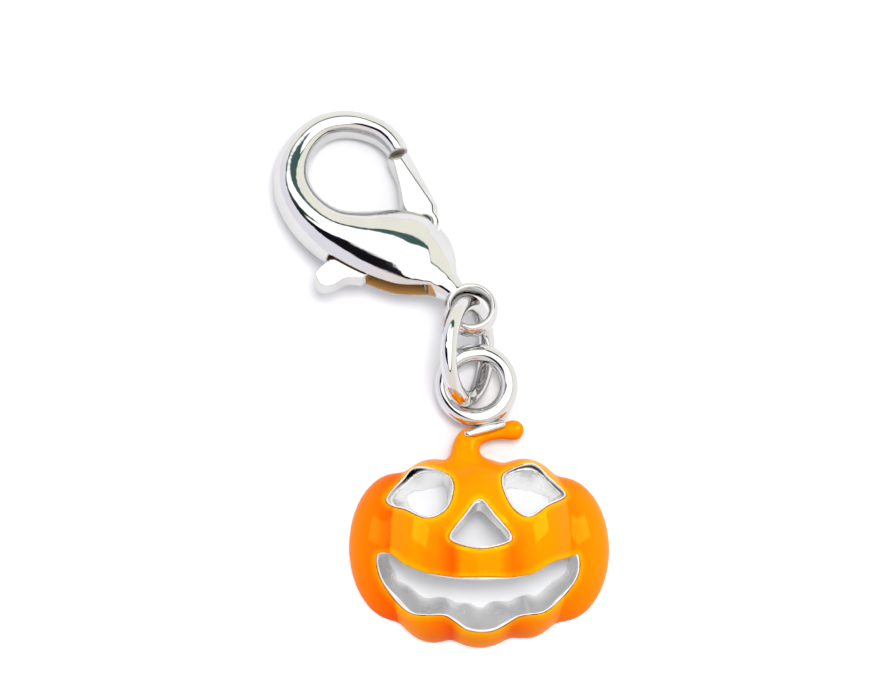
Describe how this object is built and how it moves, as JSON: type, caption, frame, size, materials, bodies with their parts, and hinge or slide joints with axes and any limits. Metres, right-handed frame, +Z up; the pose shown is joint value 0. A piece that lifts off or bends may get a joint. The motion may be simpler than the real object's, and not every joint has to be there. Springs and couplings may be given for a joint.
{
  "type": "clip-on pumpkin charm",
  "caption": "Small silver-plated lobster clasp and jump ring carrying a hollow-backed cast jack-o'-lantern pendant with orange enamel.",
  "frame": {"origin": "middle of the charm's box, on the table that it lies on", "axes": "+X to the right of the face, +Y along the charm from the pumpkin to the clasp, +Z up from the table"},
  "size_m": [0.0182, 0.0292, 0.0055],
  "materials": {
    "clasp_silver": "bright silver plate, polished to a mirror",
    "ring_silver": "bright silver-plated round wire",
    "pendant_silver": "bright silver plate over the cast surface, softer in the openings and the hollow",
    "orange_enamel": "glossy translucent orange enamel, pooled deeper in the grooves"
  },
  "bodies": {
    "charm": {"clasp_body": "clasp_silver", "clasp_pin": "clasp_silver", "jump_ring": "ring_silver", "pumpkin_casting": "pendant_silver", "pumpkin_enamel": "orange_enamel"},
    "lever": {"clasp_lever": "clasp_silver"}
  },
  "joints": [
    {"name": "gate", "type": "hinge", "parent": "charm", "child": "lever", "pos_m": [-0.00099, 0.0081, 0.00227], "axis": [-0.0009, 0.2145, 0.9767], "range_deg": [0, 28], "stiffness_Nm_per_rad": 0.004, "springref_deg": -11.46}
  ]
}
